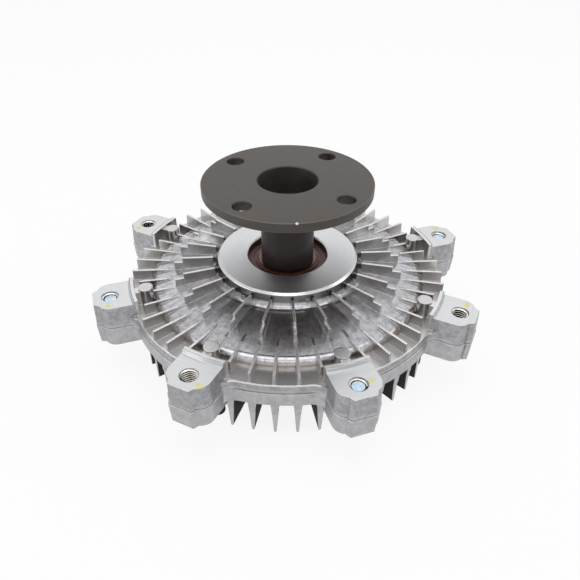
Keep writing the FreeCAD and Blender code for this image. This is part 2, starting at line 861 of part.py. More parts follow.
def bracket_screw():
    place = bracket_screw_at()
    low = nose_z - bracket_t
    shank = rod(bracket_screw_r - screw_fit, low, nose_z + bracket_screw_len - over, place)
    head = rod(bracket_head_r, low - bracket_head_h, low, place)
    return shank.fuse(head).removeSplitter()


def bolt_seat_z():
    return ear_bottom_z + bolt_well_gap + bolt_head_h + washer_t


def hexagon(corner_r, low_z, high_z, centre):
    corners = []
    for i in range(6):
        spot = at(corner_r, full_turn * i / 6, 0)
        corners.append(V(centre.x + spot.x, centre.y + spot.y, low_z))
    return Part.Face(Part.Wire(loop(*corners))).extrude(V(0, 0, high_z - low_z))


def case_bolts():
    place = V(ear_circle_r, 0, 0)
    head_top = bolt_seat_z() - washer_t
    head_low = head_top - bolt_head_h
    tip_z = pad_z - bolt_tip_inset
    head = rod(bolt_head_r, head_low + bolt_head_edge, head_top, place)
    rim = cone(bolt_head_r - bolt_head_edge, bolt_head_r, head_low, head_low + bolt_head_edge, place)
    shank = rod(screw_r, head_top, tip_z - bolt_tip_chamfer, place)
    tip = cone(screw_r, screw_r - bolt_tip_chamfer, tip_z - bolt_tip_chamfer, tip_z, place)
    bolt = fused(head, [rim, shank, tip])
    bolt = bolt.cut(hexagon(bolt_socket_r, head_low - over, head_low + bolt_socket_depth, place))
    return Part.makeCompound(every_other_ear(bolt, 1))


def lock_washers():
    high = bolt_seat_z()
    low = high - washer_t
    ring = rod(washer_r, low, high).cut(rod(washer_bore_r, low - over, high + over))
    split = turned(bar(0, washer_r + over, washer_split_half, low - over, high + over), washer_split_deg)
    ring = ring.cut(split)
    ring.translate(V(ear_circle_r, 0, 0))
    return Part.makeCompound(every_other_ear(ring, 1))


pieces = {
    "input_shaft": input_shaft,
    "bearing_outer_ring": bearing_outer_ring,
    "bearing_inner_ring": bearing_inner_ring,
    "bearing_balls": bearing_balls,
    "bearing_cage": bearing_cage,
    "bearing_seal_rear": lambda: bearing_seal(1),
    "bearing_seal_front": lambda: bearing_seal(-1),
    "bearing_retaining_ring": bearing_retaining_ring,
    "rear_cover": rear_cover,
    "front_cover": front_cover,
    "cover_seal": cover_seal,
    "rotor": rotor,
    "rotor_retaining_ring": rotor_retaining_ring,
    "divider_plate": divider_plate,
    "divider_screws": divider_screws,
    "valve_arm": valve_arm,
    "bimetal_rod": bimetal_rod,
    "rod_clip": rod_clip,
    "rod_seal": rod_seal,
    "filler_plug": filler_plug,
    "bimetal_coil": bimetal_coil,
    "coil_bracket": coil_bracket,
    "bracket_screw": bracket_screw,
    "case_bolts": case_bolts,
    "lock_washers": lock_washers,
}

os.makedirs("parts", exist_ok=True)
for name, build in pieces.items():
    shape = build()
    shape.exportStep("parts/" + name + ".step")
    print(name, len(shape.Solids), shape.isValid(), round(shape.Volume, 1))
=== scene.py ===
import json
import math
import random
from functools import partial

import bpy
from mathutils import Matrix, Vector


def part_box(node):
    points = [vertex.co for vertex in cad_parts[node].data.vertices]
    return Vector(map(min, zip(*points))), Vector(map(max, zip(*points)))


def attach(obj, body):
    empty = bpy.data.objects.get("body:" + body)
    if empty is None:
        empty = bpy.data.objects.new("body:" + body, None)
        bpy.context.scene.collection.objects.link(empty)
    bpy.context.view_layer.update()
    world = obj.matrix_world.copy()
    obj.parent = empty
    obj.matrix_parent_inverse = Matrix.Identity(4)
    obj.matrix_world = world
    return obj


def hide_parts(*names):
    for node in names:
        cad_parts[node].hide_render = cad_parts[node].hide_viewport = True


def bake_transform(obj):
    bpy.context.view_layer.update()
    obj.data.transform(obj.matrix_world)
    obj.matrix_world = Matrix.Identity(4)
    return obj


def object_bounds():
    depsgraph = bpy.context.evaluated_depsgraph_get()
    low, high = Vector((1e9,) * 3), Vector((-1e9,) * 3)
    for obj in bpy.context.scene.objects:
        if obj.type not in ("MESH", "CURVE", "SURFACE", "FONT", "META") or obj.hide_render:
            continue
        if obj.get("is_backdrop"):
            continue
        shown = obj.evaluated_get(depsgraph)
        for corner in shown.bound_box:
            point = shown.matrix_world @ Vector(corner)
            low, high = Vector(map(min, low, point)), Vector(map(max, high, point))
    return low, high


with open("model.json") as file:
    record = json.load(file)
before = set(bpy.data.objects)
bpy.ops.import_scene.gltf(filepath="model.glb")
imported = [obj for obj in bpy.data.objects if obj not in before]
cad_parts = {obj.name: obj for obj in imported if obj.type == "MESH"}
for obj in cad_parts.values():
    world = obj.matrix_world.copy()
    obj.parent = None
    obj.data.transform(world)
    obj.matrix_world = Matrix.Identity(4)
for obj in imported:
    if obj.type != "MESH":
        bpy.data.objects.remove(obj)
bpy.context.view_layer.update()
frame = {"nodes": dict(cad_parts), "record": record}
nodes = frame["nodes"]
mounts = {m["name"]: m for m in frame["record"]["mounts"]}

MM = 0.001
TAU = 2.0 * math.pi

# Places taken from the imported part, in millimetres
hub_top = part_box("rear_cover")[1].z / MM
flange_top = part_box("input_shaft")[1].z / MM
flange_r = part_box("input_shaft")[1].x / MM
bolt_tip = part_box("case_bolts")[1].z / MM
pad_top = mounts["fan_pads"]["pos_m"][2] / MM
hole_r = mounts["fan_screw_1"]["dims"]["r_mm"]
hole_len = mounts["fan_screw_1"]["dims"]["length_mm"]
ear_r = math.hypot(*mounts["fan_screw_1"]["pos_m"][:2]) / MM
first_ear = math.degrees(math.atan2(mounts["fan_screw_1"]["pos_m"][1], mounts["fan_screw_1"]["pos_m"][0]))
ear_count = 8
ear_pitch = 360.0 / ear_count
bore_r = mounts["shaft_pilot"]["dims"]["r_mm"]
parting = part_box("front_cover")[1].z / MM

# Heights and steps of the castings that no mount gives, in millimetres
pad_rise = 7.1
ear_wall_h = 20.0
post_rise = 1.7
dome_rise = 7.3
hub_fillet_h = 2.6
ledge_top = pad_top - pad_rise
rim_low = pad_top - ear_wall_h
post_top = pad_top + post_rise
dome_in_z = ledge_top + dome_rise
hub_fillet_top = dome_in_z + hub_fillet_h

# Radii that part the castings' zones, from the hub outwards
hub_edge_r = 37.9
hub_foot_r = 40.5
dome_in_r = 43.5
shoulder_r = 71.5
dome_foot_r = 74.3
fin_cut_r = 81.75
rim_in_r = 84.3
seat_in_r = 84.75
rim_line_r = 85.2

# Depths of those zones, and how far the dome falls for each millimetre outwards
hub_edge_h = 1.2
ledge_depth = 0.3
# top of the painted shade on the lower fin walls
fin_shade_top = rim_low + 1.5
cut_edge = 0.04
fin_cut_top = 13.15
fin_clear = 1.0
dome_fall = 0.122
streak_r = 60.0
streak_climb = 0.73

# The shaft's neck and collar, and the chip on the flange's front upper edge
neck_r = 19.0
collar_h = 9.5
chip_turn = math.radians(-84.2)
chip_drop = 0.2
chip_reach = 1.15
chip_place = (flange_r * math.cos(chip_turn), flange_r * math.sin(chip_turn), flange_top - chip_drop)

# Outline of an ear's pad, kept a little inside its edge
ear_side = 10.6
ear_corner_at = 4.5
ear_corner_r = 6.1

# M8 x 1.25 thread: half widths of its crest and its root are shares of the pitch
thread_pitch = 1.25
thread_minor_r = 3.45
thread_crest = 0.17
thread_root = 0.44
thread_steps = 40
thread_parts = 3
thread_inset = 0.15
thread_run_out = 0.2
thread_behind_bolt = 1.0
wall_gap = 0.01
mouth_r = 4.4

# The coil's strip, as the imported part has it
coil_half_t = 0.45
coil_start_r = 5.4
coil_pitch = 2.4
coil_half_turns = 12
coil_leg = 6.0
coil_tongue = 2.9
coil_steps = 40

# Dabs of paint: number of the ear, and in millimetres how far to its side, how far out, and the size
dabs = [
    (0, 8.0, 98.8, 1.7),
    (1, 6.2, 95.0, 1.25),
    (2, 7.5, 96.5, 1.5),
    (3, 7.5, 97.0, 1.5),
    (6, 7.0, 97.0, 1.5),
    (7, 7.0, 96.5, 1.5),
]
dab_lift = 0.05
dab_edge_lift = 0.01
dab_stretch = 1.25
dab_crown = 0.7
dab_corners = 32


def linear(code):
    """An sRGB hex colour as linear RGBA."""
    parts = [int(code[i:i + 2], 16) / 255.0 for i in (1, 3, 5)]
    return [p / 12.92 if p <= 0.04045 else ((p + 0.055) / 1.055) ** 2.4 for p in parts] + [1.0]


def feed(tree, node, feeds):
    """Links each named input of a node to a socket, or sets it to a value."""
    for key, value in feeds.items():
        if isinstance(value, bpy.types.NodeSocket):
            tree.links.new(value, node.inputs[key])
        else:
            node.inputs[key].default_value = value


def add(tree, kind, feeds=None, **settings):
    """Adds a shader node with its settings, links or sets its inputs, and gives back its outputs."""
    node = tree.nodes.new("ShaderNode" + kind)
    for key, value in settings.items():
        setattr(node, key, value)
    feed(tree, node, feeds or {})
    return node.outputs


def new_material(name):
    """A new material, its node tree and its main shader."""
    material = bpy.data.materials.new(name)
    material.use_nodes = True
    tree = material.node_tree
    return material, tree, tree.nodes["Principled BSDF"]


def point_mm(tree):
    """The point on the piece, in millimetres."""
    coords = add(tree, "TexCoord")
    return add(tree, "VectorMath", {0: coords["Object"], "Scale": 1.0 / MM}, operation="SCALE")[0]


def upward_share(tree):
    """How far the surface faces up: 1 on a top, 0 on a wall, -1 on an underside."""
    coords = add(tree, "TexCoord")
    return add(tree, "SeparateXYZ", {0: coords["Normal"]})[2]


def round_places(tree, point):
    """A point's distance from the shaft axis, and its height."""
    node = partial(add, tree)
    parts = node("SeparateXYZ", {0: point})
    flat = node("CombineXYZ", {0: parts[0], 1: parts[1]})[0]
    radius = node("VectorMath", {0: flat}, operation="LENGTH")["Value"]
    return radius, parts[2]


def white_to_eye(tree):
    """1 for rays that show the background, seen straight, mirrored or through glass, and 0 for the rest."""
    node = partial(add, tree)
    rays = node("LightPath")
    glossy, through = rays["Is Glossy Ray"], rays["Is Transmission Ray"]
    mirrored = node("Math", {0: glossy, 1: through}, operation="MAXIMUM")[0]
    return node("Math", {0: rays["Is Camera Ray"], 1: mirrored}, operation="MAXIMUM")[0]


def streaks(tree, point, radius, height, along, across):
    """Noise drawn out round the axis like a lathe tool's marks, or outwards like metal flowing in a die.

    along and across are its size in millimetres round the axis, and outwards or upwards.
    """
    node = partial(add, tree)
    flat = node("VectorMath", {0: point, 1: (1.0, 1.0, 0.0)}, operation="MULTIPLY")[0]
    ray = node("VectorMath", {0: flat}, operation="NORMALIZE")[0]
    arc = node("VectorMath", {0: ray, "Scale": streak_r / along}, operation="SCALE")[0]
    climb = node("Math", {0: height, 1: streak_climb, 2: radius}, operation="MULTIPLY_ADD")[0]
    out = node("Math", {0: climb, 1: 1.0 / across}, operation="MULTIPLY")[0]
    step = node("CombineXYZ", {2: out})[0]
    spot = node("VectorMath", {0: arc, 1: step}, operation="ADD")[0]
    return node("TexNoise", {"Vector": spot, "Scale": 1.0, "Detail": 3.0, "Roughness": 0.7})[0]


def die_cast_aluminium():
    """Pressure die cast and part turned: a glossy grey skin with flow marks, dull walls, bright cut seats."""
    material, tree, shader = new_material("die_cast_aluminium")
    node = partial(add, tree)
    point = point_mm(tree)
    upward = upward_share(tree)
    radius, height = round_places(tree, point)
    broad = node("TexNoise", {"Vector": point, "Scale": 1.0 / 14.0, "Detail": 3.0})[0]
    mottle = node("TexNoise", {"Vector": point, "Scale": 1.0 / 3.0, "Detail": 4.0, "Roughness": 0.6})[0]
    specks = node("TexNoise", {"Vector": point, "Scale": 1.0 / 0.9, "Detail": 3.0, "Roughness": 0.7})[0]
    fine = node("TexNoise", {"Vector": point, "Scale": 1.0 / 0.5, "Detail": 2.0})[0]
    marks = streaks(tree, point, radius, height, 40.0, 0.7)
    flow_lines = streaks(tree, point, radius, height, 1.6, 16.0)

    # Zones: cut seats, the glossy dome with its fins, the ledge, and the steep walls, with the masks for
    # painted light, shade and highlights on walls, crests, the rim's edge and the hub's wall
    face_level = node("Math", {0: height, 1: hub_top - cut_edge}, operation="GREATER_THAN")[0]
    edge_level = node("Math", {0: height, 1: hub_top - hub_edge_h}, operation="GREATER_THAN")[0]
    in_hub = node("Math", {0: radius, 1: hub_edge_r}, operation="LESS_THAN")[0]
    hub_face = node("Math", {0: face_level, 1: in_hub}, operation="MULTIPLY")[0]
    hub_edge = node("Math", {0: edge_level, 1: hub_face}, operation="SUBTRACT")[0]
    seat_level = node("Math", {0: height, 1: pad_top - cut_edge}, operation="GREATER_THAN")[0]
    in_seat = node("Math", {0: radius, 1: seat_in_r}, operation="GREATER_THAN")[0]
    seat = node("Math", {0: seat_level, 1: in_seat}, operation="MULTIPLY")[0]
    fin_level = node("Math", {0: height, 1: fin_cut_top}, operation="LESS_THAN")[0]
    in_fin_end = node("Math", {0: radius, 1: fin_cut_r}, operation="GREATER_THAN")[0]
    fin_end = node("Math", {0: fin_level, 1: in_fin_end}, operation="MULTIPLY")[0]
    some = node("Math", {0: hub_face, 1: seat}, operation="MAXIMUM")[0]
    cut = node("Math", {0: some, 1: fin_end}, operation="MAXIMUM")[0]
    inside_rim = node("Math", {0: radius, 1: rim_in_r}, operation="LESS_THAN")[0]
    above_rim = node("Math", {0: height, 1: ledge_top - ledge_depth}, operation="GREATER_THAN")[0]
    inner = node("Math", {0: inside_rim, 1: above_rim}, operation="MULTIPLY")[0]
    level = node("Math", {0: upward}, operation="ABSOLUTE")[0]
    steep = node("MapRange", {0: level, 1: 0.25, 2: 0.55, 3: 1.0, 4: 0.0})[0]
    fin_side = node("Math", {0: steep, 1: inner}, operation="MULTIPLY")[0]
    past_dome = node("Math", {0: radius, 1: dome_in_r}, operation="SUBTRACT")[0]
    dome_drop = node("Math", {0: past_dome, 1: dome_fall, 2: height}, operation="MULTIPLY_ADD")[0]
    over_dome = node("Math", {0: dome_drop, 1: dome_in_z + fin_clear}, operation="GREATER_THAN")[0]
    past_hub = node("Math", {0: radius, 1: hub_foot_r}, operation="GREATER_THAN")[0]
    raised = node("Math", {0: over_dome, 1: past_hub}, operation="MULTIPLY")[0]
    fin_top = node("Math", {0: raised, 1: inner}, operation="MULTIPLY")[0]
    in_dome = node("Math", {0: radius, 1: dome_foot_r}, operation="LESS_THAN")[0]
    dome = node("Math", {0: inner, 1: in_dome}, operation="MULTIPLY")[0]
    # painted shade: the steep fin walls below the rim, fading in outwards
    below_rim = node("Math", {0: height, 1: fin_shade_top}, operation="LESS_THAN")[0]
    under_rim = node("Math", {0: radius, 1: fin_cut_r}, operation="LESS_THAN")[0]
    between = node("Math", {0: below_rim, 1: under_rim}, operation="MULTIPLY")[0]
    far_out = node("MapRange", {0: radius, 1: 52.0, 2: 68.0})[0]
    shade_zone = node("Math", {0: between, 1: far_out}, operation="MULTIPLY")[0]
    shaded = node("Math", {0: shade_zone, 1: steep}, operation="MULTIPLY")[0]
    past_top = node("Math", {0: radius, 1: shoulder_r}, operation="GREATER_THAN")[0]
    on_slope = node("Math", {0: dome, 1: past_top}, operation="MULTIPLY")[0]
    low_fins = node("Math", {0: raised, 1: -1.0, 2: 1.0}, operation="MULTIPLY_ADD")[0]
    shoulder = node("Math", {0: on_slope, 1: low_fins}, operation="MULTIPLY")[0]
    facing_up = node("MapRange", {0: upward, 1: 0.5, 2: 0.8})[0]
    crest = node("Math", {0: fin_top, 1: facing_up}, operation="MULTIPLY")[0]
    post_level = node("Math", {0: height, 1: post_top, 2: 0.05}, operation="COMPARE")[0]
    on_post = node("Math", {0: post_level, 1: past_top}, operation="MULTIPLY")[0]
    crest = node("Math", {0: crest, 1: on_post}, operation="SUBTRACT", use_clamp=True)[0]
    # painted highlight: a light line along the rim's outer edge, just under the ledge
    on_rim = node("Math", {0: radius, 1: rim_line_r, 2: 0.9}, operation="COMPARE")[0]
    from_ledge = node("Math", {0: height, 1: ledge_top - 0.35, 2: 0.45}, operation="COMPARE")[0]
    rim_highlight_line = node("Math", {0: on_rim, 1: from_ledge}, operation="MULTIPLY")[0]
    # painted shade: the hub's wall between its turned edge and the dome's fillet
    near_hub = node("Math", {0: radius, 1: hub_foot_r}, operation="LESS_THAN")[0]
    under_edge = node("Math", {0: near_hub, 1: edge_level}, operation="SUBTRACT")[0]
    above_fillet = node("MapRange", {0: height, 1: hub_fillet_top - 0.6, 2: hub_fillet_top + 0.4})[0]
    hub_wall = node("Math", {0: under_edge, 1: above_fillet}, operation="MULTIPLY", use_clamp=True)[0]

    # Shares of the tints that lie on the skin, among them painted light, painted shade, painted highlights
    # and a painted reflection
    blots = node("Mix", {0: inner, 2: mottle, 3: flow_lines}, data_type="FLOAT")[0]
    stain_share = node("Math", {0: inner, 1: -0.3, 2: 0.75}, operation="MULTIPLY_ADD")[0]
    stains = node("MapRange", {0: blots, 1: 0.42, 2: 0.62, 3: 0.0, 4: stain_share})[0]
    most = node("Math", {0: dome, 1: -0.4, 2: 0.5}, operation="MULTIPLY_ADD")[0]
    flecks = node("MapRange", {0: specks, 1: 0.46, 2: 0.6, 3: 0.0, 4: most})[0]
    cool = node("Math", {0: dome, 1: -0.5, 2: 0.5}, operation="MULTIPLY_ADD")[0]
    clean_half = node("Math", {0: height, 1: parting}, operation="LESS_THAN")[0]
    cleaner = node("Math", {0: clean_half, 1: 0.35}, operation="MULTIPLY")[0]
    polish = node("Math", {0: dome, 1: 0.35}, operation="MULTIPLY")[0]
    patches = node("MapRange", {0: mottle, 1: 0.46, 2: 0.62, 3: 0.0, 4: 0.4})[0]
    clouded = node("Math", {0: patches, 1: dome}, operation="MULTIPLY")[0]
    flat_ledge = node("Math", {0: inner, 1: dome}, operation="SUBTRACT")[0]
    pale = node("Math", {0: flat_ledge, 1: 0.45}, operation="MULTIPLY")[0]
    # painted light: the steep fin walls inside the rim get a lighter colour, standing in for the light on
    # them
    shade = node("Math", {0: fin_side, 1: 0.7}, operation="MULTIPLY")[0]
    # painted reflection: a warm tint on the steep walls of the dome's shoulder
    shoulder_side = node("Math", {0: fin_side, 1: shoulder}, operation="MULTIPLY")[0]
    warm = node("Math", {0: shoulder_side, 1: 0.4}, operation="MULTIPLY")[0]
    # painted highlight, flecked by scuffs: a lighter colour on the upward faces of the fin crests
    scuffed = node("MapRange", {0: specks, 1: 0.4, 2: 0.6, 3: 0.35, 4: 0.95})[0]
    wear_and_highlight = node("Math", {0: crest, 1: scuffed}, operation="MULTIPLY")[0]
    # painted highlight on the rim's edge line
    ridge = node("Math", {0: rim_highlight_line, 1: 0.8}, operation="MULTIPLY")[0]
    # painted shade on the hub's wall
    painted_hub_wall_shade = node("Math", {0: hub_wall, 1: 0.75}, operation="MULTIPLY")[0]
    # painted shade on the lower fin walls
    painted_fin_shade = node("Math", {0: shaded, 1: 0.96}, operation="MULTIPLY")[0]
    glint = node("Math", {0: hub_edge, 1: 0.7}, operation="MULTIPLY")[0]

    # Colour: the grey skin under those tints, then the cut faces in fine lines
    clouds = node("MapRange", {0: broad, 1: 0.38, 2: 0.62})[0]
    skin = node("Mix", {0: clouds, 6: linear("#A19C98"), 7: linear("#B2B1B3")}, data_type="RGBA")[2]
    layers = [
        (stains, "#656365"),
        (flecks, "#625F61"),
        (cool, "#B0B2B6"),
        (cleaner, "#C4C4C6"),
        (polish, "#CED1D9"),
        (clouded, "#6E7079"),
        (pale, "#D6D4D4"),
        # painted light on the steep fin walls
        (shade, "#C4C1BE"),
        # painted warm reflection on the shoulder's walls
        (warm, "#A89080"),
        # painted highlight on the fin crests, with scuffs
        (wear_and_highlight, "#DCDBD8"),
        # painted highlight on the rim's edge line
        (ridge, "#E0DFDC"),
        # painted shade on the hub's wall
        (painted_hub_wall_shade, "#3C393B"),
        # painted shade on the lower fin walls
        (painted_fin_shade, "#221E1D"),
        (glint, "#D6D6D4"),
    ]
    for share, tint in layers:
        skin = node("Mix", {0: share, 6: skin, 7: linear(tint)}, data_type="RGBA")[2]
    lines = node("MapRange", {0: marks, 1: 0.3, 2: 0.7})[0]
    bright = node("Mix", {0: lines, 6: linear("#C3C4C6"), 7: linear("#CCCDCF")}, data_type="RGBA")[2]
    colour = node("Mix", {0: cut, 6: skin, 7: bright}, data_type="RGBA")[2]
    dulled = node("Math", {0: fin_end, 1: 0.5}, operation="MULTIPLY")[0]
    colour = node("Mix", {0: dulled, 6: colour, 7: linear("#9C9C9F")}, data_type="RGBA")[2]

    # Gloss: the dome was polished by the die, the walls are dull, the lower fin walls under painted shade are
    # matt
    gloss = node("MapRange", {0: mottle, 1: 0.3, 2: 0.7, 3: 0.40, 4: 0.52})[0]
    glossy = node("MapRange", {0: flow_lines, 1: 0.3, 2: 0.7, 3: 0.18, 4: 0.28})[0]
    sheens = [
        (inner, 0.3),
        (dome, glossy),
        (crest, 0.36),
        (rim_highlight_line, 0.25),
        (cut, 0.33),
        (hub_face, 0.31),
        (shaded, 0.9),
    ]
    for share, rough in sheens:
        gloss = node("Mix", {0: share, 2: gloss, 3: rough}, data_type="FLOAT")[0]
    metal = node("Math", {0: shaded, 1: -1.0, 2: 1.0}, operation="MULTIPLY_ADD")[0]

    # Across a tool's grooves a reflection spreads, along them it stays sharp
    grooved = node("Math", {0: hub_face, 1: 0.8}, operation="MULTIPLY")[0]
    round_axis = node("Tangent", direction_type="RADIAL", axis="Z")[0]

    # Relief in mm: slow waves, flow marks, grain, and the tool's grooves where cut
    waves = node("Math", {0: broad, 1: 0.16}, operation="MULTIPLY")[0]
    flow_depth = node("Math", {0: inner, 1: -0.05, 2: 0.09}, operation="MULTIPLY_ADD")[0]
    flow = node("Math", {0: mottle, 1: flow_depth, 2: waves}, operation="MULTIPLY_ADD")[0]
    burr = node("Math", {0: crest, 1: 0.07}, operation="MULTIPLY")[0]
    pitted = node("Math", {0: specks, 1: burr, 2: flow}, operation="MULTIPLY_ADD")[0]
    grain_depth = node("Math", {0: inner, 1: -0.011, 2: 0.014}, operation="MULTIPLY_ADD")[0]
    grain = node("Math", {0: fine, 1: grain_depth, 2: pitted}, operation="MULTIPLY_ADD")[0]
    rough_edge = node("Math", {0: hub_edge, 1: 0.12}, operation="MULTIPLY")[0]
    cast_relief = node("Math", {0: mottle, 1: rough_edge, 2: grain}, operation="MULTIPLY_ADD")[0]
    depth = node("Math", {0: hub_face, 1: 0.015, 2: 0.015}, operation="MULTIPLY_ADD")[0]
    grooves = node("Math", {0: marks, 1: depth}, operation="MULTIPLY")[0]
    relief = node("Mix", {0: cut, 2: cast_relief, 3: grooves}, data_type="FLOAT")[0]
    eased = node("Bevel", {"Radius": 0.5 * MM}, samples=4)[0]
    bumped = node("Bump", {"Height": relief, "Distance": MM, "Normal": eased})[0]
    feed(tree, shader, {
        "Base Color": colour,
        "Roughness": gloss,
        "Metallic": metal,
        "Anisotropic": grooved,
        "Tangent": round_axis,
        "Normal": bumped,
    })
    return material


def phosphated_steel():
    """Forged, turned and manganese phosphated: warm near-black grey with a low sheen, thin on its edges."""
    material, tree, shader = new_material("phosphated_steel")
    node = partial(add, tree)
    point = point_mm(tree)
    upward = upward_share(tree)
    radius, height = round_places(tree, point)
    rings = streaks(tree, point, radius, height, 60.0, 0.7)
    cloud = node("TexNoise", {"Vector": point, "Scale": 1.0 / 9.0, "Detail": 4.0})[0]
    crystals = node("TexNoise", {"Vector": point, "Scale": 1.0 / 0.4, "Detail": 2.0})[0]
    clouds = node("MapRange", {0: cloud, 1: 0.35, 2: 0.65})[0]
    coat = node("Mix", {0: clouds, 6: linear("#423D3A"), 7: linear("#4C4743")}, data_type="RGBA")[2]
    lines = node("MapRange", {0: rings, 1: 0.5, 2: 0.8, 3: 0.0, 4: 0.25})[0]
    coat = node("Mix", {0: lines, 6: coat, 7: linear("#69635E")}, data_type="RGBA")[2]

    # Painted light under the flange, so that the turned hub mirrors a lighter underside, and painted shade on
    # the neck's walls
    facing_down = node("MapRange", {0: upward, 1: -0.5, 2: -0.8, 3: 0.0, 4: 0.85})[0]
    coat = node("Mix", {0: facing_down, 6: coat, 7: linear("#9C948D")}, data_type="RGBA")[2]
    level = node("Math", {0: upward}, operation="ABSOLUTE")[0]
    upright = node("MapRange", {0: level, 1: 0.2, 2: 0.5, 3: 0.8, 4: 0.0})[0]
    low_part = node("Math", {0: height, 1: flange_top - collar_h}, operation="LESS_THAN")[0]
    slim = node("Math", {0: radius, 1: neck_r}, operation="LESS_THAN")[0]
    neck = node("Math", {0: low_part, 1: slim}, operation="MULTIPLY")[0]
    in_bore = node("Math", {0: radius, 1: bore_r, 2: 0.5}, operation="COMPARE")[0]
    neck = node("Math", {0: neck, 1: in_bore}, operation="SUBTRACT", use_clamp=True)[0]
    # painted shade on the steep walls of the neck under the flange
    painted_neck_shade = node("Math", {0: neck, 1: upright}, operation="MULTIPLY")[0]
    coat = node("Mix", {0: painted_neck_shade, 6: coat, 7: linear("#241E1C")}, data_type="RGBA")[2]

    # The coat is thin along the flange's edges, which also carry a painted highlight, and one chip shows bare
    # steel
    out = node("MapRange", {0: radius, 1: flange_r - 0.55, 2: flange_r - 0.2})[0]
    on_top = node("MapRange", {0: height, 1: flange_top - 0.6, 2: flange_top - 0.3})[0]
    edge = node("Math", {0: out, 1: on_top}, operation="MULTIPLY")[0]
    wear_and_highlight = node("Math", {0: edge, 1: 0.45}, operation="MULTIPLY")[0]
    coat = node("Mix", {0: wear_and_highlight, 6: coat, 7: linear("#8A8079")}, data_type="RGBA")[2]
    away = node("VectorMath", {0: point, 1: chip_place}, operation="DISTANCE")["Value"]
    ragged = node("Math", {0: crystals, 1: 0.8, 2: away}, operation="MULTIPLY_ADD")[0]
    chip = node("Math", {0: ragged, 1: chip_reach}, operation="LESS_THAN")[0]
    colour = node("Mix", {0: chip, 6: coat, 7: linear("#D9D4CC")}, data_type="RGBA")[2]

    grooves = node("Math", {0: rings, 1: 0.014}, operation="MULTIPLY")[0]
    relief = node("Math", {0: crystals, 1: 0.016, 2: grooves}, operation="MULTIPLY_ADD")[0]
    eased = node("Bevel", {"Radius": 0.3 * MM}, samples=4)[0]
    bumped = node("Bump", {"Height": relief, "Distance": MM, "Normal": eased})[0]
    gloss = node("MapRange", {0: cloud, 1: 0.3, 2: 0.7, 3: 0.42, 4: 0.54})[0]
    feed(tree, shader, {"Base Color": colour, "Roughness": gloss, "Normal": bumped, "Metallic": 0.4})
    return material


def turned_metal(name, low, high, rough, groove_mm=0.3):
    """Turned, ground or rolled metal: two close tints in fine streaks round the axis."""
    material, tree, shader = new_material(name)
    node = partial(add, tree)
    point = point_mm(tree)
    radius, height = round_places(tree, point)
    marks = streaks(tree, point, radius, height, 25.0, groove_mm)
    spots = node("TexNoise", {"Vector": point, "Scale": 1.0 / 2.5, "Detail": 2.0})[0]
    lines = node("Math", {0: marks, 1: 0.6}, operation="MULTIPLY")[0]
    share = node("Math", {0: spots, 1: 0.4, 2: lines}, operation="MULTIPLY_ADD")[0]
    tint = node("MapRange", {0: share, 1: 0.35, 2: 0.65})[0]
    colour = node("Mix", {0: tint, 6: linear(low), 7: linear(high)}, data_type="RGBA")[2]
    gloss = node("MapRange", {0: spots, 1: 0.3, 2: 0.7, 3: rough - 0.05, 4: rough + 0.05})[0]
    grooves = node("Math", {0: marks, 1: 0.01}, operation="MULTIPLY")[0]
    eased = node("Bevel", {"Radius": 0.15 * MM}, samples=4)[0]
    bumped = node("Bump", {"Height": grooves, "Distance": MM, "Normal": eased})[0]
    feed(tree, shader, {"Base Color": colour, "Roughness": gloss, "Normal": bumped, "Metallic": 1.0})
    return material


def blue_zinc():
    """Zinc plated and blue passivated: pale sky blue where flat, with painted shade on the faces that do not
    face up, and cloudy, slightly rubbed plating.
    """
    material, tree, shader = new_material("blue_passivated_zinc")
    node = partial(add, tree)
    point = point_mm(tree)
    upward = upward_share(tree)
    cloud = node("TexNoise", {"Vector": point, "Scale": 1.0 / 1.6, "Detail": 4.0})[0]
    fine = node("TexNoise", {"Vector": point, "Scale": 1.0 / 0.3, "Detail": 2.0})[0]
    clouds = node("MapRange", {0: cloud, 1: 0.35, 2: 0.65})[0]
    flat = node("Mix", {0: clouds, 6: linear("#B2CBE4"), 7: linear("#D8E5F1")}, data_type="RGBA")[2]
    # painted shade: faces that do not face up get a dark grey blue
    level = node("MapRange", {0: upward, 1: 0.75, 2: 0.9})[0]
    colour = node("Mix", {0: level, 6: linear("#5D6B78"), 7: flat}, data_type="RGBA")[2]
    gloss = node("MapRange", {0: cloud, 1: 0.3, 2: 0.7, 3: 0.38, 4: 0.52})[0]
    relief = node("Math", {0: fine, 1: 0.02}, operation="MULTIPLY")[0]
    bumped = node("Bump", {"Height": relief, "Distance": MM})[0]
    feed(tree, shader, {"Base Color": colour, "Roughness": gloss, "Normal": bumped, "Metallic": 0.8})
    return material


def tapped_aluminium():
    """Thread cut by a tap: bright flanks with a faint warm film of cutting oil, and painted shade on the
    crests and downward flanks.
    """
    material, tree, shader = new_material("tapped_aluminium")
    node = partial(add, tree)
    point = point_mm(tree)
    upward = upward_share(tree)
    smear = node("TexNoise", {"Vector": point, "Scale": 1.0 / 3.0, "Detail": 3.0})[0]
    oil = node("MapRange", {0: smear, 1: 0.35, 2: 0.65})[0]
    colour = node("Mix", {0: oil, 6: linear("#E4E2DD"), 7: linear("#D5D0C5")}, data_type="RGBA")[2]
    # painted shade: faces that do not turn up, the crests and lower flanks, get a dark brown
    flank = node("MapRange", {0: upward, 1: 0.2, 2: 0.55})[0]
    colour = node("Mix", {0: flank, 6: linear("#4A4238"), 7: colour}, data_type="RGBA")[2]
    gloss = node("MapRange", {0: smear, 1: 0.3, 2: 0.7, 3: 0.2, 4: 0.34})[0]
    feed(tree, shader, {"Base Color": colour, "Roughness": gloss, "Metallic": 1.0})
    return material


